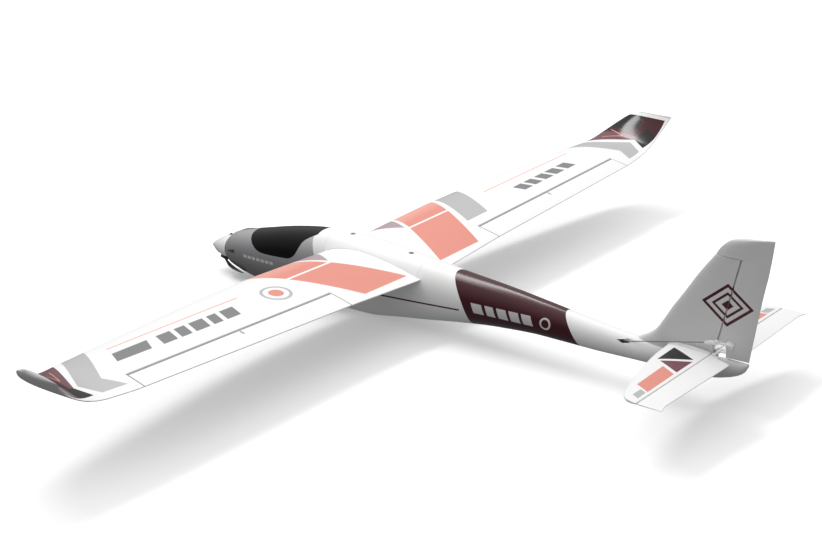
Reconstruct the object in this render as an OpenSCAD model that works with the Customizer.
// Radio controlled electric sailplane with moulded foam airframe.
// Millimetres. +X is the port (left) wing, +Y points aft, +Z is up.
// The origin is on the flat of the belly, under the quarter chord of the wing.

/* [Wing] */
// Spanwise reach of the straight part of one wing half
flat_span = 642; // [600:1:680]
// Dihedral of the straight part, degrees
dihedral = 2.13; // [1.5:0.01:3]
// Radius of the upswept tip, in front view
tip_radius = 112; // [100:1:125]
// Incidence of the root section, degrees
incidence = 2; // [1:0.1:3]
// Height of the leading edge at the centre line
wing_z = 98.3; // [97:0.1:99]
// Section thickness as a share of the chord
thickness = 0.10; // [0.09:0.005:0.11]
// Thickness of every trailing edge
edge = 1.4; // [1.2:0.1:1.6]

/* [Ailerons] */
// Inner end of the aileron
aileron_in = 186; // [170:1:200]
// Outer end of the aileron
aileron_out = 591; // [560:1:600]
// Position of the aileron hinge behind the origin
aileron_y = 91.3; // [88:0.1:94]
// Half angle of the hinge groove, degrees
groove = 13; // [12:0.5:15]
// Spanwise position of the aileron linkage
linkage_x = 382; // [370:1:400]

/* [Tail] */
// Semi-span of the tailplane
stab_span = 203; // [190:1:210]
// Height of the tailplane
stab_z = 84; // [83:0.5:85]
// Position of the elevator hinge behind the origin
elevator_y = 645; // [644:0.5:646]
// Rudder hinge at the reference height, behind the origin
rudder_y = 652.7; // [652:0.1:653.5]
// Rake of the rudder hinge, degrees
rudder_rake = 13.86; // [13:0.01:15]

/* [Linkages] */
// Radius of all servo arms and horns
arm_r = 12; // [11:0.5:12]
// Pushrod wire radius
wire_r = 0.7; // [0.6:0.05:0.8]
// Radial clearance of a pivot
pivot_gap = 0.08; // [0.05:0.01:0.1]

/* [Nose] */
// Tilt of the motor below the datum, degrees
down_thrust = 4; // [3:0.5:4.5]
// Motor shaft radius
shaft_r = 2; // [1.6:0.1:2.2]
// Motor bell radius
bell_r = 14; // [12:0.5:14.5]
// Roll angle at which the blades are drawn, degrees
prop_roll = 50; // [0:5:90]

/* [Foam] */
// Wall of the nose and cabin
wall = 6; // [5:0.5:6.5]
// Wall of the boom
boom_wall = 4; // [3.5:0.5:4.5]
// Gap between neighbouring foam pieces
gap = 0.35; // [0.3:0.05:0.5]

/* [Hidden] */
$fn = 32;
// y, half width, top, bottom, power of the rounded section
body_st = [
    [-304, 22, 68.5, 20.5, 2.0], [-298, 25.5, 74, 17.5, 2.05], [-290, 28.5, 78, 15.5, 2.1],
    [-276, 31.5, 82.5, 12.5, 2.15], [-262, 33.7, 86.5, 9.5, 2.2], [-220, 38, 97, 3.5, 2.3],
    [-160, 41, 111, 0.2, 2.4], [-100, 43, 121, -1.2, 2.45], [-40, 44, 126.5, -1.4, 2.5],
    [20, 43, 124, -0.4, 2.5], [80, 41, 120, 8, 2.4], [135, 38, 115.5, 16, 2.3],
    [200, 33.5, 110, 26, 2.1], [280, 28, 104, 36, 2.0], [360, 23.5, 95.5, 41, 2.0],
    [440, 19.5, 86.5, 41, 2.0], [520, 15.8, 79.5, 43, 2.0], [580, 13.5, 76.5, 44.5, 2.0],
    [640, 11, 80.3, 47.5, 2.0], [665, 9.2, 81, 53.5, 2.0], [682, 6.8, 81, 60.5, 2.0],
    [692, 4.2, 81, 68.5, 2.0], [696, 2.2, 81, 76, 2.0]];
// distance along the half wing, leading edge, trailing edge
wing_st = [
    [0, -51, 144], [100, -53, 138.5], [200, -54, 133.2], [300, -50, 131.3], [370, -43.5, 130],
    [440, -35, 128.7], [540, -23, 126.7], [600, -15, 125.5], [630, -11.5, 122],
    [650, -8, 119.5], [670, -2.5, 118.4], [690, 4, 118], [706, 12, 119], [720, 21, 121],
    [732, 31, 124], [742, 41, 127], [749, 53, 129.5], [753.5, 68, 130.6]];
// z, leading edge, half thickness of the fixed fin
fin_st = [
    [60, 500, 6.8], [72, 508, 7], [84, 525.5, 7], [91, 538, 6.9], [100, 549, 6.8],
    [116, 560, 6.6], [141, 575.4, 6.3], [166, 592.6, 6], [198, 613.7, 5.6], [231.2, 638.6, 5.2]];
// z, trailing edge of the rudder
rudder_te = [[60, 693.3], [83.1, 696.6], [131.5, 704.3], [179.1, 712.4], [221.9, 720.7], [266.3, 726.6]];
// z, leading edge of the balance area above the fin
cap_st = [
    [232.7, 639.4], [243.9, 647.1], [251.7, 655.4], [256.7, 662.8], [260.7, 676.5], [264, 702], [266.3, 722]];
// x, leading edge of the tailplane
stab_le = [
    [7, 574.5], [13.6, 575], [43, 577], [92, 585], [136, 596], [168, 605.5], [185, 611.5], [195, 618],
    [200, 624], [203, 634]];
// x, trailing edge of the elevator
elevator_te = [
    [14.2, 651], [17, 660], [26, 680], [80, 679], [140, 677.5], [185, 676.5], [195, 678], [203.5, 681]];

hinge_h = -5.6;
// distance along the half wing to the end of the tip
tip_s = 753.5;
// gap at the root face that keeps the rib and the foam apart
root_clear = 0.013;
surface_gap = 0.4;
nose_y = -304;
nose_z = 44;
blade_hinge_r = 19.5;
blade_hinge_v = -14;
pin_r = 1.5;
rib_in = 2.3;
rib_t = 2;
panel_in = rib_in + rib_t + 0.3;
spar_y = 12;
spar_h = 2.6;
spar_r = 4;
spar_len = 250;
pin_y = 74;
pin_h = 1;
bolt_y = [-24.3, 98];
bolt_top = [126.5, 118.2];
plate_z = 84;
// half length of the front and the rear bolt plate, its ends let into the walls
plate_w = [38.5, 34];
saddle_y0 = -58;
saddle_y1 = 134;
split_z = 95;
// where the two halves of the body meet
seam_x = 0.02;
servo_l = 22.8;
servo_w = 11.8;
servo_h = 22.5;
ail_servo_y = 26;
ail_servo_h = 0.5;
elev_servo_y = 20;
elev_servo_z = 64;
elev_x = -3;
rud_servo = [-1, -22, 41.5];
floor_z = 32.8;
tray_z = 20;
horn_z = 106.9;
fin_tr = 3.8;
elev_r = 2.7;

function st(tab, key, col) = lookup(key, [for (r = tab) [r[0], r[col]]]);
function sgn_pow(v, e) = (v < 0 ? -1 : 1) * pow(abs(v), e);
function ring2(a, zt, zb, n, count) = [for (i = [0:count - 1]) let(t = 360 * i / count)
    [a * sgn_pow(cos(t), 2 / n), (zt + zb) / 2 + (zt - zb) / 2 * sgn_pow(sin(t), 2 / n)]];
function hinge_y(z) = rudder_y + (z - 108.5) * tan(rudder_rake);

// ---- generic helpers ----
module slab_y(y, pts) {
    translate([0, y, 0]) rotate([90, 0, 0]) linear_extrude(height = 0.02, center = true) polygon(pts);
}

module slab_z(z, pts) {
    translate([0, 0, z]) linear_extrude(height = 0.02, center = true) polygon(pts);
}

module slab_x(x, pts) {
    // points are [y, z]
    translate([x, 0, 0]) rotate([90, 0, 90]) linear_extrude(height = 0.02, center = true) polygon(pts);
}

module body_loft(y0, y1, inset, cuts) {
    keys = concat([y0], [for (r = body_st) if (r[0] > y0 + 1 && r[0] < y1 - 1) r[0]], [y1]);
    for (i = [0:len(keys) - 2]) hull() for (j = [0, 1]) {
        k = keys[i + j];
        slab_y(k, ring2(st(body_st, k, 1) - inset, st(body_st, k, 2) - inset,
            st(body_st, k, 3) + inset, st(body_st, k, 4), cuts));
    }
}

// ---- wing section loft ----
function camber(t, m) = t < 0.4 ? m / 0.16 * (0.8 * t - t * t) : m / 0.36 * (0.2 + 0.8 * t - t * t);
function half_t(t) = 5 * thickness * (0.2969 * sqrt(t) - 0.126 * t - 0.3516 * t * t
    + 0.2843 * pow(t, 3) - 0.1036 * pow(t, 4));
function wing_m(s) = s < 600 ? 0.03 : 0.03 * max(0, 1 - (s - 600) / 150);
function foil(s, grow) = let(yl = st(wing_st, s, 1) - grow, c = st(wing_st, s, 2) + grow - yl, n = 10)
    concat([for (i = [n:-1:0]) let(t = (1 - cos(180 * i / n)) / 2)
        [yl + c * t,
            (camber(t, wing_m(s)) + half_t(t)) * c + edge / 2 * t - tan(incidence) * c * t + grow]],
    [for (i = [1:n]) let(t = (1 - cos(180 * i / n)) / 2)
        [yl + c * t,
            (camber(t, wing_m(s)) - half_t(t)) * c - edge / 2 * t - tan(incidence) * c * t - grow]]);
function arc_s() = flat_span / cos(dihedral);
function path_p(s) = s <= arc_s() ? dihedral : dihedral + (s - arc_s()) / tip_radius * 180 / PI;
function path_x(s) = s <= arc_s() ? s * cos(dihedral)
    : flat_span + tip_radius * (sin(path_p(s)) - sin(dihedral));
function path_z(s) = s <= arc_s() ? s * sin(dihedral)
    : flat_span * tan(dihedral) + tip_radius * (cos(dihedral) - cos(path_p(s)));
function foil_ring(s, grow) = [for (p = foil(s, grow))
    [path_x(s) - p[1] * sin(path_p(s)), p[0], wing_z + path_z(s) + p[1] * cos(path_p(s))]];

module wing_loft(s0, s1, grow) {
    keys = concat([s0], [for (r = wing_st) if (r[0] > s0 + 1 && r[0] < s1 - 1) r[0]], [s1]);
    last = len(keys) - 1;
    n = len(foil(s0, 0));
    polyhedron(points = [for (k = keys) for (p = foil_ring(k, grow)) p],
        faces = concat([[for (j = [0:n - 1]) j]], [[for (j = [n - 1:-1:0]) last * n + j]],
            [for (i = [0:last - 1]) for (j = [0:n - 1]) let(a = i * n + j, b = i * n + (j + 1) % n)
                each [[a, a + n, b + n], [a, b + n, b]]]));
}

// wing frame: s along the straight half wing, y aft, h above the chord line
module wing_frame() {
    translate([0, 0, wing_z]) rotate([0, -dihedral, 0]) children();
}

module port(side) {
    if (side > 0) children();
    else mirror([1, 0, 0]) children();
}

module behind_groove(s0, s1, shift, lean) {
    wing_frame() translate([s0, 0, 0]) rotate([90, 0, 90]) linear_extrude(height = s1 - s0)
        polygon([[aileron_y + shift + 6 * lean * tan(groove), hinge_h - 6], [aileron_y + shift, hinge_h],
            [aileron_y + shift - lean * 14 * tan(groove), hinge_h + 14],
            [190, hinge_h + 14], [190, hinge_h - 6]]);
}

// ---- standard micro servo: output axis +Z at the origin, case along +X ----
module servo() {
    difference() {
        union() {
            translate([-5.9, -servo_w / 2, -servo_h]) cube([servo_l, servo_w, servo_h]);
            translate([-10.6, -servo_w / 2, -6.5]) cube([servo_l + 9.4, servo_w, 2.2]);
            translate([0, 0, -0.1]) cylinder(r = 5.8, h = 3.1);
            translate([0, 0, 3]) cylinder(r = 2.3, h = 2.6);
            translate([8.6, 0, -0.1]) cylinder(r = 2.9, h = 3.1);
        }
        for (x = [-8.3, 19.3]) translate([x, 0, -8]) cylinder(r = 1.05, h = 5);
    }
}

// ears' self-tapping screws, for the servo frame above
module servo_screw_pair() {
    for (x = [-8.3, 19.3]) translate([x, 0, 0]) {
        translate([0, 0, -10]) cylinder(r = 1, h = 6);
        translate([0, 0, -4.2]) cylinder(r = 2, h = 1.4);
    }
}

// arm: hub on the spline, pointing along +X of its own frame
module servo_arm() {
    difference() {
        union() {
            translate([0, 0, 3.3]) cylinder(r = 3.6, h = 3.6);
            hull() {
                translate([0, 0, 4.9]) cylinder(r = 3, h = 2);
                translate([arm_r, 0, 4.9]) cylinder(r = 2, h = 2);
            }
        }
        translate([0, 0, 2]) cylinder(r = 2.36, h = 3.8);
        translate([arm_r, 0, 4]) cylinder(r = wire_r + pivot_gap, h = 4);
        for (k = [5.6, 8.8]) translate([k, 0, 4]) cylinder(r = 0.6, h = 4);
    }
}

module rod(a, b, r) {
    v = b - a;
    len = norm(v);
    translate(a) rotate([0, acos(v[2] / len), atan2(v[1], v[0])]) cylinder(r = r, h = len);
}

module joined_rod(pts, r) {
    for (i = [0:len(pts) - 2]) rod(pts[i], pts[i + 1], r);
    if (len(pts) > 2) for (i = [1:len(pts) - 2]) translate(pts[i]) sphere(r = r * 1.08, $fn = 24);
}

// ---- fuselage ----
module fin_core(grow) {
    for (i = [0:len(fin_st) - 2]) hull() for (j = [0, 1]) {
        z = fin_st[i + j][0];
        le = fin_st[i + j][1] - grow;
        t = fin_st[i + j][2] + grow;
        re = hinge_y(z) - fin_tr - 0.7 + grow;
        c = re - le;
        slab_z(z, [[0, le], [t * 0.55, le + 0.04 * c], [t * 0.85, le + 0.15 * c], [t, le + 0.4 * c],
            [fin_tr + 0.5 + grow, re], [-fin_tr - 0.5 - grow, re], [-t, le + 0.4 * c],
            [-t * 0.85, le + 0.15 * c], [-t * 0.55, le + 0.04 * c]]);
    }
}

module hatch_side(grow) {
    // side outline of the lift-off hatch
    rotate([90, 0, 90]) linear_extrude(height = 120, center = true) offset(delta = grow)
        polygon([[-242, 160], [-241, 98], [-238, 88.5], [-230, 79.5], [-221, 73.5], [-211, 69], [-198, 67.5],
            [-174, 68.5], [-140, 71.5], [-130, 74.5], [-122, 80], [-116, 89], [-108, 104], [-98, 112],
            [-84, 119], [-84, 160]]);
}

module nose_frame() {
    translate([0, nose_y, nose_z]) rotate([down_thrust, 0, 0]) children();
}

module saddle_zone(grow) {
    translate([-70, saddle_y0 - grow, split_z - grow])
        cube([140, saddle_y1 - saddle_y0 + 2 * grow, 60]);
}

module cabin_space() {
    body_loft(-257, 134, wall, 28);
    body_loft(133, 400, (wall + boom_wall) / 2, 24);
    body_loft(399, 560, boom_wall, 20);
    body_loft(559, 668, 5, 16);
}

// pin of the rudder horn, and the place where its wire leaves the boom
rud_pin = [arm_r, hinge_y(horn_z), horn_z];
rud_exit = [arm_r, 512, 74.3];
rud_rise = atan((rud_pin[2] - rud_exit[2]) / (rud_pin[1] - rud_exit[1]));
rud_a = [rud_servo[0] + arm_r, rud_servo[1], rud_servo[2] + 9.1];
rud_b = [9, 440, 62.5];
// the elevator wire runs beside its arm and horn
elev_a = [elev_x + 2.4, elev_servo_y, elev_servo_z - arm_r];
elev_b = [elev_x + 2.4, elevator_y, stab_z - arm_r];
function along(a, b, y) = a + (b - a) * (y - a[1]) / (b[1] - a[1]);

// room beside the fin root for the rudder wire as it moves back
rud_back = [arm_r * (cos(20) - 1), arm_r * sin(20) * cos(rudder_rake), -arm_r * sin(20) * sin(rudder_rake)];
module rudder_wire_room() {
    hull() for (shift = [[0, 0, 0], rud_back]) rod(rud_exit + shift, rud_pin + shift, wire_r + 0.6);
}

module fuselage() {
    difference() {
        union() {
            body_loft(-304, 696, 0, 32);
            fin_core(0);
            hull() {
                translate([9.5, 466, 66]) sphere(r = 6, $fn = 16);
                translate([8.8, 512, 72]) sphere(r = 5.5, $fn = 16);
            }
        }
        cabin_space();
        // flat of the belly
        translate([-60, -400, -20]) cube([120, 600, 20]);
        // channel of the elevator wire under the fin root
        hull() {
            translate([elev_x + 1, 520, 68]) cube([8, 1, 6], center = true);
            translate([elev_x + 1, 647, 72]) cube([8, 1, 6], center = true);
        }
        hatch_side(gap);
        saddle_zone(gap);
        for (side = [1, -1]) port(side) wing_loft(0, 120, gap);
        nose_frame() rotate([-90, 0, 0]) {
            translate([0, 0, -6]) cylinder(r = 12, h = 12);
            translate([0, 0, 3]) cylinder(r = 18, h = 52);
            translate([0, 0, 38.5]) cylinder(r = 23.4, h = 3.8);
        }
        // cooling inlets
        for (side = [1, -1]) port(side) hull() {
            translate([34, -272, 52]) cube([14, 1, 8.5], center = true);
            translate([27, -272, 52]) cube([14, 1, 8], center = true);
            translate([30, -294, 49]) cube([8, 1, 1], center = true);
        }
        // exit slot of the rudder wire
        hull() {
            translate([9, 446, 62.8]) cube([6, 1, 7], center = true);
            translate([11.2, 484, 67.8]) cube([5.6, 1, 7], center = true);
        }
        hull() {
            translate([11.2, 484, 67.8]) cube([5.6, 1, 7], center = true);
            translate([14.6, 516, 75.1]) cube([8, 1, 7], center = true);
        }
        // pass for the elevator cross tube and its two ribs
        translate([0, 612, stab_z]) rotate([0, 90, 0]) cylinder(r = 2.85, h = 40, center = true);
        for (side = [1, -1]) port(side) translate([7, 572, 78.2]) cube([12, 71, 13]);
        // space around the elevator joiner, and its horn
        translate([-20, elevator_y - elev_r - 1, stab_z - 2.55]) cube([40, 30, 19]);
        translate([elev_x - 3.2, elevator_y - 9, 62]) cube([8.4, 18, 30]);
        // slots of the bolt plates
        for (i = [0, 1]) translate([-plate_w[i] - 0.3, bolt_y[i] - 11.3, plate_z - 3.3])
            cube([2 * plate_w[i] + 0.6, 22.6, 3.6]);
        rudder_wire_room();
        // magnet seats
        for (m = body_magnet_at) magnet(m, 0.3);
    }
}

// y and z of the forward face of each magnet
body_magnet_at = [[-246.3, 87.3], [-81.5, 119.8]];
hatch_magnet_at = [[-236.4, 90.6], [-90.2, 119.6]];

module magnet(at, grow) {
    translate([0, at[0] - grow, at[1]]) rotate([-90, 0, 0]) cylinder(r = 2.2 + grow, h = 3 + 2 * grow);
}

module body_magnets() {
    color([0.8, 0.8, 0.82]) for (m = body_magnet_at) magnet(m, 0);
}

module hatch_magnets() {
    color([0.8, 0.8, 0.82]) for (m = hatch_magnet_at) magnet(m, 0);
}

module fuselage_left() {
    color([0.9, 0.9, 0.9]) intersection() {
        fuselage();
        translate([seam_x, -400, -50]) cube([200, 1300, 500]);
    }
}

module fuselage_right() {
    color([0.88, 0.88, 0.88]) intersection() {
        fuselage();
        translate([seam_x - 200, -400, -50]) cube([200, 1300, 500]);
    }
}

module canopy() {
    color([0.05, 0.05, 0.06]) intersection() {
        difference() {
            body_loft(-250, -70, 0, 36);
            body_loft(-257, -60, wall - 1, 28);
            for (m = hatch_magnet_at) magnet(m, 0.3);
        }
        hatch_side(0);
    }
}

module wing_saddle() {
    color([0.92, 0.92, 0.92]) difference() {
        intersection() {
            body_loft(-80, 160, 0, 36);
            saddle_zone(0);
        }
        cabin_space();
        for (side = [1, -1]) port(side) wing_loft(0, 120, gap);
        for (i = [0, 1]) translate([0, bolt_y[i], 60]) {
            cylinder(r = 2.4, h = 90);
            translate([0, 0, bolt_top[i] - 60 - 2.9]) cylinder(r = 4.4, h = 30);
        }
    }
}

// ---- wing ----
module wing_panel() {
    difference() {
        wing_loft(panel_in + root_clear, tip_s, 0);
        behind_groove(aileron_in - 0.9, aileron_out + 1.2, -surface_gap - 0.1, 1);
        wing_frame() {
            // spar bore, locating pin bore
            translate([0, spar_y, spar_h]) rotate([0, 90, 0]) cylinder(r = spar_r + 0.3, h = spar_len + 1);
            translate([0, pin_y, pin_h]) rotate([0, 90, 0]) cylinder(r = 2.3, h = 16);
            // servo pocket and lead channel
            translate([linkage_x - 30, ail_servo_y - 12, -14]) cube([31.5, 35, 14 + ail_servo_h + 6.4]);
            translate([40, 31.3, -14]) cube([linkage_x - 69.4, 3, 9.1]);
        }
        for (y = bolt_y) translate([0, y, 60]) cylinder(r = 4.6, h = 80);
    }
}

module wing_left() {
    color([0.95, 0.95, 0.95]) port(1) wing_panel();
}

module wing_right() {
    color([0.95, 0.95, 0.95]) port(-1) wing_panel();
}

module wing_rib() {
    difference() {
        wing_frame() translate([rib_in, 0, 0]) rotate([90, 0, 90])
            linear_extrude(height = rib_t) offset(delta = -0.4)
            polygon(foil(0, 0));
        wing_frame() {
            translate([0, spar_y, spar_h]) rotate([0, 90, 0]) cylinder(r = spar_r + 0.05, h = 12);
            translate([0, pin_y, pin_h]) rotate([0, 90, 0]) cylinder(r = 2.05, h = 12);
        }
        for (y = bolt_y) translate([0, y, 60]) cylinder(r = 2.6, h = 80);
    }
}

module wing_ribs() {
    color([0.2, 0.2, 0.22]) for (side = [1, -1]) port(side) wing_rib();
}

module wing_joiner() {
    // bent at the centre to follow the dihedral
    color([0.1, 0.1, 0.11]) for (side = [1, -1]) port(side) hull() {
        translate([0, spar_y, wing_z + spar_h]) rotate([0, 90, 0])
            cylinder(r = spar_r, h = 0.02, center = true);
        wing_frame() translate([spar_len, spar_y, spar_h]) rotate([0, 90, 0])
            cylinder(r = spar_r, h = 0.02);
    }
}

module locating_pins() {
    color([0.15, 0.15, 0.15]) for (side = [1, -1]) port(side) wing_frame() translate([0.4, pin_y, pin_h])
        rotate([0, 90, 0]) cylinder(r = 2, h = 14);
}

module wing_bolts() {
    color([0.25, 0.25, 0.27]) for (i = [0, 1]) translate([0, bolt_y[i], 0]) difference() {
        union() {
            translate([0, 0, plate_z - 4]) cylinder(r = 2, h = bolt_top[i] - plate_z + 2);
            translate([0, 0, bolt_top[i] - 2.5]) cylinder(r = 4, h = 2.2);
        }
        translate([0, 0, bolt_top[i] - 1.5]) cube([1, 6, 3], center = true);
    }
}

module bolt_plates() {
    color([0.75, 0.6, 0.4]) for (i = [0, 1]) difference() {
        translate([-plate_w[i], bolt_y[i] - 11, plate_z - 3]) cube([2 * plate_w[i], 22, 3]);
        translate([0, bolt_y[i], plate_z - 5]) cylinder(r = 2.05, h = 8);
    }
}

// ---- ailerons ----
module aileron() {
    difference() {
        intersection() {
            wing_loft(aileron_in - 100, aileron_out + 20, 0);
            behind_groove(aileron_in, aileron_out, surface_gap, -1);
        }
        // seat of the horn
        wing_frame() translate([linkage_x - 5.3, aileron_y + 0.2, hinge_h - 3]) cube([10.6, 17, 3.9]);
        wing_frame() translate([linkage_x - 1.8, aileron_y + 3, hinge_h - 3]) cube([3.6, 9, 20]);
    }
}

module aileron_left() {
    color([0.93, 0.93, 0.93]) port(1) aileron();
}

module aileron_right() {
    color([0.93, 0.93, 0.93]) port(-1) aileron();
}

// horn in the frame of its hinge: axis +X, pin hole at -Z, base behind the axis at height base
module horn(base, reach) {
    difference() {
        union() {
            translate([-0.9, 0, 0]) rotate([90, 0, 90]) linear_extrude(height = 1.8)
                polygon([[-2.6, -arm_r - 1.4], [-1.4, -arm_r - 2.6], [1.4, -arm_r - 2.6],
                    [reach - 1, base], [1.8, base], [-2.6, -arm_r + 2]]);
            translate([-4.6, 1.2, base - 1.3]) cube([9.2, reach - 1.6, 1.3]);
        }
        translate([-3, 0, -arm_r]) rotate([0, 90, 0]) cylinder(r = wire_r + pivot_gap, h = 6);
        for (y = [3.4, reach - 3]) for (x = [-3.1, 3.1])
            translate([x, y, base - 4]) cylinder(r = 0.6, h = 6);
    }
}

module aileron_horn(side) {
    color([0.95, 0.95, 0.93]) port(side) wing_frame()
        translate([linkage_x, aileron_y, hinge_h]) horn(0.4, 16);
}

module horn_left() {
    aileron_horn(1);
}

module horn_right() {
    aileron_horn(-1);
}

module in_aileron_servo(side) {
    port(side) wing_frame() translate([linkage_x - 5.9, ail_servo_y, ail_servo_h])
        rotate([90, 0, 90]) children();
}

module servo_left() {
    color([0.12, 0.15, 0.25]) in_aileron_servo(1) servo();
}

module servo_right() {
    color([0.12, 0.15, 0.25]) in_aileron_servo(-1) servo();
}

module arm_left() {
    color([0.95, 0.95, 0.95]) in_aileron_servo(1) rotate([0, 0, -90]) servo_arm();
}

module arm_right() {
    color([0.95, 0.95, 0.95]) in_aileron_servo(-1) rotate([0, 0, -90]) servo_arm();
}

module servo_cover() {
    wing_frame() difference() {
        translate([linkage_x - 33, ail_servo_y - 15, -7.6]) cube([42, 41, 0.8]);
        translate([linkage_x - 3, ail_servo_y - 9, -9]) cube([6, 18, 4]);
        for (x = [-30.5, 6.5]) for (y = [-12.5, 23.5])
            translate([linkage_x + x, ail_servo_y + y, -9]) cylinder(r = 0.9, h = 4);
    }
}

module servo_covers() {
    color([0.9, 0.9, 0.9]) for (side = [1, -1]) port(side) servo_cover();
}

// aileron rod: bent into the arm and the horn, the long part runs beside them
module aileron_rod(side) {
    color([0.3, 0.3, 0.32]) port(side) wing_frame() joined_rod([
        [linkage_x - 2.6, ail_servo_y, ail_servo_h - arm_r],
        [linkage_x + 2.4, ail_servo_y, ail_servo_h - arm_r],
        [linkage_x + 2.4, aileron_y, hinge_h - arm_r],
        [linkage_x - 2.2, aileron_y, hinge_h - arm_r]], wire_r);
}

module rod_left() {
    aileron_rod(1);
}

module rod_right() {
    aileron_rod(-1);
}

// ---- tail ----
module stab_half() {
    difference() {
        for (i = [1:len(stab_le) - 2]) hull() for (j = [0, 1]) {
            x = stab_le[i + j][0];
            le = stab_le[i + j][1];
            re = elevator_y - elev_r - 0.7;
            t = 4.2 - 1.9 * x / stab_span;
            c = re - le;
            slab_x(x, [[le, stab_z], [le + 0.03 * c, stab_z + t * 0.45], [le + 0.15 * c, stab_z + t * 0.85],
                [le + 0.4 * c, stab_z + t], [re, stab_z + elev_r * (1 - x / 700)],
                [re, stab_z - elev_r * (1 - x / 700)], [le + 0.4 * c, stab_z - t],
                [le + 0.15 * c, stab_z - t * 0.85], [le + 0.03 * c, stab_z - t * 0.45]]);
        }
        translate([0, 612, stab_z]) rotate([0, 90, 0]) cylinder(r = 2.8, h = 126);
    }
}

module stab_left() {
    color([0.95, 0.95, 0.95]) port(1) stab_half();
}

module stab_right() {
    color([0.95, 0.95, 0.95]) port(-1) stab_half();
}

module stab_rib() {
    difference() {
        translate([7.4, 0, 0]) rotate([90, 0, 90]) linear_extrude(height = 5.8)
            polygon([[576, 81], [574, 84], [576, 87.4], [584, 89.4], [612, 90.2], [634, 88.6], [641, 87.2],
                [641, 80.6], [612, 79], [586, 79.4]]);
        translate([0, 612, stab_z]) rotate([0, 90, 0]) cylinder(r = 2.55, h = 30);
        rudder_wire_room();
    }
}

module stab_ribs() {
    color([0.95, 0.95, 0.95]) for (side = [1, -1]) port(side) stab_rib();
}

module stab_tube() {
    color([0.08, 0.08, 0.09]) translate([-125, 612, stab_z]) rotate([0, 90, 0]) difference() {
        cylinder(r = 2.5, h = 250);
        translate([0, 0, -1]) cylinder(r = 1.5, h = 252);
    }
}

module elevator_half() {
    difference() {
        for (i = [0:len(elevator_te) - 2]) hull() for (j = [0, 1]) {
            x = elevator_te[i + j][0];
            r = elev_r * (1 - x / 700);
            translate([x, elevator_y, stab_z]) rotate([0, 90, 0])
                cylinder(r = r, h = 0.02, center = true, $fn = 20);
            slab_x(x, [[elevator_y + 1, stab_z - r], [elevator_te[i + j][1], stab_z - edge / 2],
                [elevator_te[i + j][1], stab_z + edge / 2], [elevator_y + 1, stab_z + r]]);
        }
        translate([10, elevator_y - 1.8, stab_z - 0.95]) cube([25.4, 13.2, 1.9]);
    }
}

module elevator_left() {
    color([0.95, 0.95, 0.95]) port(1) elevator_half();
}

module elevator_right() {
    color([0.95, 0.95, 0.95]) port(-1) elevator_half();
}

module elevator_joiner() {
    color([0.93, 0.93, 0.92]) difference() {
        union() {
            translate([-13.8, elevator_y, stab_z]) rotate([0, 90, 0]) cylinder(r = 2.4, h = 27.6);
            for (side = [1, -1]) port(side)
                translate([8, elevator_y - 1.5, stab_z - 0.6]) cube([27, 12.6, 1.2]);
            translate([elev_x, elevator_y, stab_z]) rotate([90, 0, 90]) translate([0, 0, -0.9])
                linear_extrude(height = 1.8) polygon([[-2, 0], [-2.4, -arm_r - 0.6], [-1.2, -arm_r - 2.2],
                    [1.2, -arm_r - 2.2], [2.4, -arm_r - 0.6], [2, 0]]);
        }
        translate([elev_x - 3, elevator_y, stab_z - arm_r]) rotate([0, 90, 0])
            cylinder(r = wire_r + pivot_gap, h = 6);
    }
}

module rudder() {
    color([0.7, 0.7, 0.7]) difference() {
        union() {
            zs = [83.3, 104, 131.5, 160, 190, 221.9, 231.5];
            for (i = [0:len(zs) - 2]) hull() for (j = [0, 1]) rudder_slice(zs[i + j]);
            for (i = [0:len(cap_st) - 2]) hull() for (j = [0, 1]) {
                z = cap_st[i + j][0];
                le = cap_st[i + j][1];
                te = lookup(z, rudder_te);
                c = te - le;
                t = min(5, 0.13 * c + 0.8) * (1 - 0.5 * max(0, (z - 252) / 14.3));
                slab_z(z, [[0, le], [t * 0.6, le + 0.06 * c], [t, le + 0.3 * c], [edge / 2, te],
                    [-edge / 2, te], [-t, le + 0.3 * c], [-t * 0.6, le + 0.06 * c]]);
            }
            hull() {
                rudder_slice(231.5);
                rudder_slice(232.75);
            }
        }
        // corner notch over the elevator joiner
        translate([-10, 620, 70]) cube([20, 42, 33.4]);
        in_rudder_frame() translate([1.2, 9.9, -7.2]) cube([8, 12.2, 14.4]);
    }
}

module rudder_slice(z) {
    y = hinge_y(z);
    te = lookup(z, rudder_te);
    translate([0, y, z]) cylinder(r = fin_tr, h = 0.02, center = true, $fn = 20);
    slab_z(z, [[fin_tr, y], [edge / 2, te], [-edge / 2, te], [-fin_tr, y]]);
}

// rudder horn: plate screwed to the port face, arm reaching to the side of the hinge
module in_rudder_frame() {
    // origin on the hinge line at horn height, x to port, y along the rudder, z along the hinge
    translate([0, hinge_y(horn_z), horn_z]) rotate([-rudder_rake, 0, 0]) children();
}

module rudder_horn() {
    color([0.95, 0.95, 0.93]) in_rudder_frame() difference() {
        union() {
            translate([1.6, 10.4, -6.8]) cube([1.5, 11.2, 13.6]);
            hull() {
                translate([2.8, 10.8, -0.9]) cube([0.3, 10, 1.8]);
                translate([arm_r, 0, -0.9]) cylinder(r = 2.3, h = 1.8);
            }
        }
        translate([arm_r, 0, -4]) cylinder(r = wire_r + pivot_gap, h = 8);
        for (y = [12.4, 19.6]) for (z = [-5.2, 5.2]) translate([0, y, z]) rotate([0, 90, 0])
            cylinder(r = 0.6, h = 8);
    }
}

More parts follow.
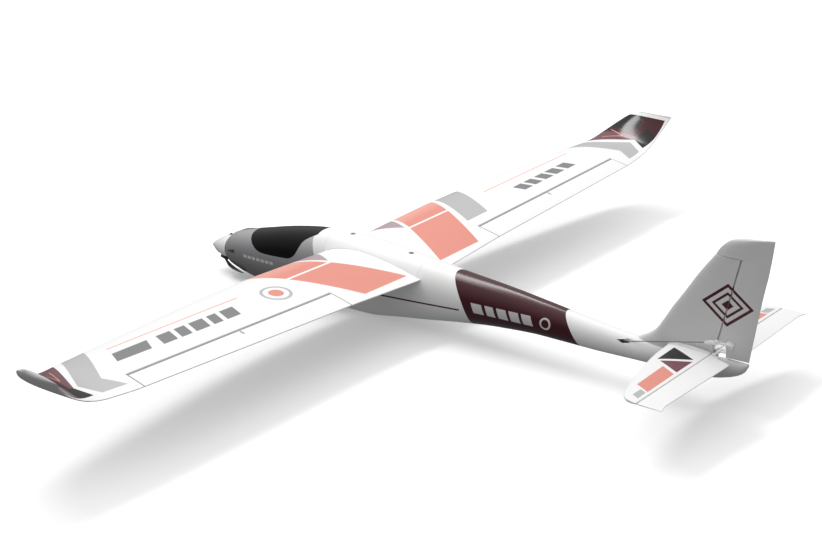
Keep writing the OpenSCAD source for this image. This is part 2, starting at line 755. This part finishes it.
// ---- tail linkages ----
// clevis with its body along an axis that drops by the given angle towards -Y; pin along z at the origin
module clevis(drop) {
    difference() {
        hull() {
            translate([-1.9, -3, -2.6]) cube([3.8, 4.8, 5.2]);
            rotate([drop, 0, 0]) translate([-1.7, -19, -1.7]) cube([3.4, 1, 3.4]);
        }
        translate([-3, -11, -1.3]) cube([6, 14, 2.6]);
        rotate([drop, 0, 0]) translate([0, -20, 0]) rotate([-90, 0, 0]) cylinder(r = wire_r + 0.03, h = 6);
    }
    translate([0, 0, -2.4]) cylinder(r = wire_r, h = 4.8);
}

module rudder_clevis() {
    color([0.96, 0.96, 0.95]) in_rudder_frame() translate([arm_r, 0, 0]) clevis(rud_rise + rudder_rake);
}

module rudder_rod() {
    back = rud_pin - 15 * [0, cos(rud_rise), sin(rud_rise)];
    color([0.3, 0.3, 0.32])
        joined_rod([rud_a - [0, 0, 5.6], rud_a, rud_b, rud_b + [1.6, 34, 4], rud_exit, back], wire_r);
}

module elevator_rod() {
    color([0.3, 0.3, 0.32])
        joined_rod([elev_a - [4.8, 0, 0], elev_a, elev_b, elev_b - [4.6, 0, 0]], wire_r);
}

module guide_tube(a, b, y0, y1, ro, ri) {
    difference() {
        rod(along(a, b, y0), along(a, b, y1), ro);
        rod(along(a, b, y0 - 1), along(a, b, y1 + 1), ri);
    }
}

module elevator_guide() {
    color([0.95, 0.95, 0.9]) guide_tube(elev_a, elev_b, 110, 560, 2.2, 1.7);
}

module rudder_guide() {
    color([0.95, 0.95, 0.9]) guide_tube(rud_a, rud_b, 110, 430, 3.1, 2.6);
}

module tube_supports() {
    color([0.75, 0.6, 0.4]) for (y = [200, 398]) difference() {
        translate([0, y + 1.5, 0]) rotate([90, 0, 0]) linear_extrude(height = 3) polygon(ring2(
            st(body_st, y, 1) - boom_wall - 2.2, st(body_st, y, 2) - boom_wall - 2.2,
            st(body_st, y, 3) + boom_wall + 2.2, 2, 32));
        guide_hole(elev_a, elev_b, y, 2.25);
        guide_hole(rud_a, rud_b, y, 3.15);
    }
}

module guide_hole(a, b, y, r) {
    rod(along(a, b, y - 8), along(a, b, y + 8), r);
}

// ---- tail servos and equipment ----
module in_elevator_servo() {
    translate([elev_x - 5.9, elev_servo_y, elev_servo_z]) rotate([90, 0, 90]) children();
}

module in_rudder_servo() {
    translate(rud_servo) rotate([0, 0, -90]) children();
}

module servo_elevator() {
    color([0.12, 0.15, 0.25]) in_elevator_servo() servo();
}

module servo_rudder() {
    color([0.12, 0.15, 0.25]) in_rudder_servo() servo();
}

module arm_elevator() {
    color([0.95, 0.95, 0.95]) in_elevator_servo() rotate([0, 0, -90]) servo_arm();
}

module arm_rudder() {
    color([0.95, 0.95, 0.95]) in_rudder_servo() rotate([0, 0, 90]) servo_arm();
}

module servo_screws() {
    color([0.7, 0.7, 0.72]) {
        in_elevator_servo() servo_screw_pair();
        in_rudder_servo() servo_screw_pair();
    }
}

module servo_tray() {
    color([0.78, 0.63, 0.42]) difference() {
        union() {
            translate([-29, -48, floor_z]) cube([58, 98, 2]);
            translate([elev_x - 14.6, 6, floor_z]) cube([2, 40, 40]);
        }
        translate([rud_servo[0] - 6.4, rud_servo[1] - 17.4, floor_z - 1]) cube([12.8, 23.8, 4]);
        translate([elev_x - 20, elev_servo_y - 6.4, elev_servo_z - 6.4]) cube([20, 23.8, 12.8]);
        in_elevator_servo() for (x = [-8.3, 19.3]) translate([x, 0, -14]) cylinder(r = 1.03, h = 8);
        in_rudder_servo() for (x = [-8.3, 19.3]) translate([x, 0, -14]) cylinder(r = 1.03, h = 8);
    }
}

module equipment_tray() {
    color([0.78, 0.63, 0.42]) difference() {
        translate([0, 0, tray_z]) linear_extrude(height = 2)
            polygon([[-18, -240], [18, -240], [25, -195], [26, -56], [-26, -56], [-25, -195]]);
        for (x = [-19.5, 19.5]) translate([x, -170, tray_z]) cube([2.6, 21, 8], center = true);
        for (y = [-222, -128]) translate([0, y, tray_z - 1]) cylinder(r = 3, h = 4);
    }
}

module battery() {
    color([0.15, 0.2, 0.5]) translate([-17, -222, tray_z + 2.3]) cube([34, 105, 24]);
}

module battery_strap() {
    color([0.05, 0.05, 0.05]) difference() {
        translate([-20.3, -180, tray_z - 1.4]) cube([40.6, 20, 29.2]);
        translate([-18.9, -181, tray_z - 0.3]) cube([37.8, 22, 27]);
    }
}

module speed_controller() {
    color([0.1, 0.1, 0.1]) translate([-25, -112, tray_z + 2.3]) cube([24, 50, 9]);
}

module receiver() {
    color([0.1, 0.1, 0.12]) translate([2, -110, tray_z + 2.3]) cube([21, 40, 12]);
}

// ---- power train, drawn about the thrust line: z aft, y down ----
module thrust() {
    nose_frame() rotate([-90, 0, 0]) children();
}

module motor_mount() {
    color([0.75, 0.6, 0.4]) thrust() difference() {
        translate([0, 0, 38.8]) cylinder(r = 23, h = 3, $fn = 48);
        translate([0, 0, 38]) cylinder(r = 5, h = 5);
        for (a = [45:90:315]) rotate([0, 0, a]) translate([9.5, 0, 38]) cylinder(r = 1.55, h = 5);
    }
}

module motor_stator() {
    color([0.6, 0.45, 0.25]) thrust() difference() {
        union() {
            translate([0, 0, 33.6]) cylinder(r = 13, h = 4.9);
            translate([0, 0, 12]) cylinder(r = 4, h = 26.5);
            translate([0, 0, 13]) cylinder(r = 11.4, h = 18);
        }
        translate([0, 0, 10]) cylinder(r = shaft_r + 0.06, h = 30);
        for (a = [45:90:315]) rotate([0, 0, a]) translate([9.5, 0, 34]) cylinder(r = 1.52, h = 6);
    }
}

module motor_screws() {
    color([0.5, 0.5, 0.52]) thrust() for (a = [45:90:315]) rotate([0, 0, a]) translate([9.5, 0, 0]) {
        translate([0, 0, 34.4]) cylinder(r = 1.5, h = 8);
        translate([0, 0, 42.1]) cylinder(r = 2.7, h = 1.8);
    }
}

module motor_bell() {
    color([0.25, 0.25, 0.27]) thrust() difference() {
        union() {
            translate([0, 0, 7]) cylinder(r = bell_r, h = 26);
            translate([0, 0, 3.4]) cylinder(r = 5, h = 6);
        }
        translate([0, 0, 10]) cylinder(r = bell_r - 1.9, h = 30);
        translate([0, 0, 0]) cylinder(r = shaft_r + 0.02, h = 40);
        for (a = [0:60:300]) rotate([0, 0, a]) translate([8.3, 0, 5]) cylinder(r = 2.2, h = 7);
    }
}

module motor_shaft() {
    color([0.8, 0.8, 0.82]) thrust() translate([0, 0, -28]) cylinder(r = shaft_r, h = 65);
}

module blade_yoke() {
    color([0.2, 0.2, 0.22]) thrust() rotate([0, 0, prop_roll]) difference() {
        union() {
            translate([0, 0, -20]) cylinder(r = 6, h = 12);
            translate([-14, -6.6, -18]) cube([28, 13.2, 8]);
            for (k = [1, -1]) for (y = [-6.6, 4.15]) hull() {
                translate([k * 12, y, -18]) cube([1, 2.45, 8]);
                translate([k * blade_hinge_r, y, blade_hinge_v]) rotate([-90, 0, 0])
                    cylinder(r = 4, h = 2.45);
            }
        }
        translate([0, 0, -30]) cylinder(r = shaft_r + 0.02, h = 40);
        for (k = [1, -1]) translate([k * blade_hinge_r, -9, blade_hinge_v]) rotate([-90, 0, 0])
            cylinder(r = pin_r + 0.02, h = 18);
    }
}

module blade_pins() {
    color([0.75, 0.75, 0.77]) thrust() rotate([0, 0, prop_roll]) for (k = [1, -1])
        translate([k * blade_hinge_r, 0, blade_hinge_v]) rotate([-90, 0, 0]) {
            translate([0, 0, -6.9]) cylinder(r = pin_r, h = 14);
            translate([0, 0, 6.8]) cylinder(r = 2.6, h = 1.2);
        }
}

// blade stations: radius, distance aft, chord, thickness, twist, sweep of the mid chord
blade_st = [[22.6, -9.2, 7.4, 4.2, 0, 0], [27.6, -1.7, 10.4, 3, 8, 0.5], [33.6, 9.2, 16.4, 2.4, 13, 1],
    [37.6, 20.6, 19.5, 2.1, 13, 1], [40.2, 32.4, 17, 1.8, 11, 0.6], [41.4, 41.2, 12.6, 1.4, 9, 0],
    [41.9, 46.2, 5, 0.9, 8, -1]];
module blade_slab(i) {
    b = blade_st[i];
    n = blade_st[min(i + 1, len(blade_st) - 1)];
    p = blade_st[max(i - 1, 0)];
    translate([b[0], 0, b[1]]) rotate([0, atan2(n[0] - p[0], n[1] - p[1]), 0]) rotate([0, 0, b[4]])
        linear_extrude(height = 0.02, center = true) polygon([[-b[3] / 2, b[5] - b[2] * 0.1],
            [-b[3] / 3, b[5] - b[2] * 0.4], [0, b[5] - b[2] / 2], [b[3] / 3, b[5] - b[2] * 0.42],
            [b[3] / 2, b[5] - b[2] * 0.1], [b[3] / 5, b[5] + b[2] / 2], [-b[3] / 5, b[5] + b[2] / 2]]);
}

module blade(turn) {
    color([0.12, 0.12, 0.13]) thrust() rotate([0, 0, prop_roll + turn]) difference() {
        union() {
            translate([blade_hinge_r, -3.9, blade_hinge_v]) rotate([-90, 0, 0]) cylinder(r = 3.6, h = 7.8);
            hull() {
                translate([blade_hinge_r, -3.7, blade_hinge_v]) rotate([-90, 0, 0])
                    cylinder(r = 2.6, h = 7.4);
                blade_slab(0);
            }
            for (i = [0:len(blade_st) - 2]) hull() {
                blade_slab(i);
                blade_slab(i + 1);
            }
        }
        translate([blade_hinge_r, -9, blade_hinge_v]) rotate([-90, 0, 0])
            cylinder(r = pin_r + pivot_gap, h = 18);
    }
}

module blade_a() {
    blade(0);
}

module blade_b() {
    blade(180);
}

// radius of the spinner at a distance ahead of its base, as a share of its length
function spin_r(u) = 22 * (1 - pow(u, 1.7)) + 0.6 * (1 - u);
module spinner() {
    n = 14;
    len = 53.5;
    color([0.92, 0.92, 0.92]) thrust() rotate([0, 0, prop_roll]) difference() {
        translate([0, 0, -1.6]) rotate([180, 0, 0]) difference() {
            rotate_extrude($fn = 64)
                polygon(concat([[0, 0]], [for (i = [0:n]) [spin_r(i / n), len * i / n]]));
            difference() {
                rotate_extrude($fn = 48) polygon(concat([[0, -1]], [[spin_r(0) - 1.8, -1]],
                    [for (i = [0:n - 2]) [max(0.1, spin_r(i / n) - 1.8), len * i / n]], [[0, len * 0.86]]));
                translate([0, 0, 18.9]) cylinder(r = 5, h = 40);
            }
        }
        translate([0, 0, -30]) cylinder(r = shaft_r + 0.02, h = 40);
        for (k = [1, -1]) translate([k * 19.5 - 10.5, -8.6, -32]) cube([21, 17.2, 40]);
    }
}

fuselage_left();
fuselage_right();
body_magnets();
canopy();
hatch_magnets();
wing_saddle();
wing_left();
wing_right();
wing_ribs();
wing_joiner();
locating_pins();
wing_bolts();
bolt_plates();
aileron_left();
aileron_right();
horn_left();
horn_right();
servo_left();
servo_right();
arm_left();
arm_right();
servo_covers();
rod_left();
rod_right();
stab_left();
stab_right();
stab_ribs();
stab_tube();
elevator_left();
elevator_right();
elevator_joiner();
elevator_rod();
arm_elevator();
servo_elevator();
rudder();
rudder_horn();
rudder_clevis();
rudder_rod();
arm_rudder();
servo_rudder();
servo_screws();
servo_tray();
elevator_guide();
rudder_guide();
tube_supports();
equipment_tray();
battery();
battery_strap();
speed_controller();
receiver();
motor_mount();
motor_stator();
motor_screws();
motor_bell();
motor_shaft();
blade_yoke();
blade_pins();
spinner();
blade_a();
blade_b();
